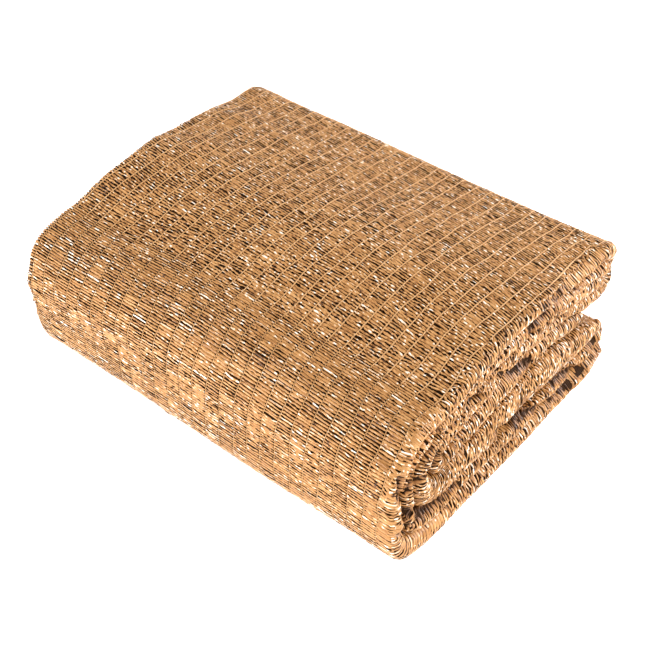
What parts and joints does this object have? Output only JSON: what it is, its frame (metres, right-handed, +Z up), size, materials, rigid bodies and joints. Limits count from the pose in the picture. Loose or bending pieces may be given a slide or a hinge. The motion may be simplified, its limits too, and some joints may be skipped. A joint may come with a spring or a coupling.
{
  "type": "folded greenhouse shade cloth",
  "caption": "Tan knitted greenhouse shade cloth, folded lengthwise into a strip and then back and forth into a flat rectangular bundle with a wrapped front and an open back.",
  "frame": {"origin": "on the ground under the middle of the bundle", "axes": "+X along the bundle's long side, towards the rolled edges of the layers; +Y from the wrapped front to the open back; +Z up"},
  "size_m": [0.3188, 0.2562, 0.0997],
  "materials": {
    "knitted_cloth": "warp-knitted flat plastic tapes, warm tan, thin open ribs with glossy cross tapes between them"
  },
  "bodies": {
    "root": {"shade_cloth": "knitted_cloth"}
  },
  "joints": []
}
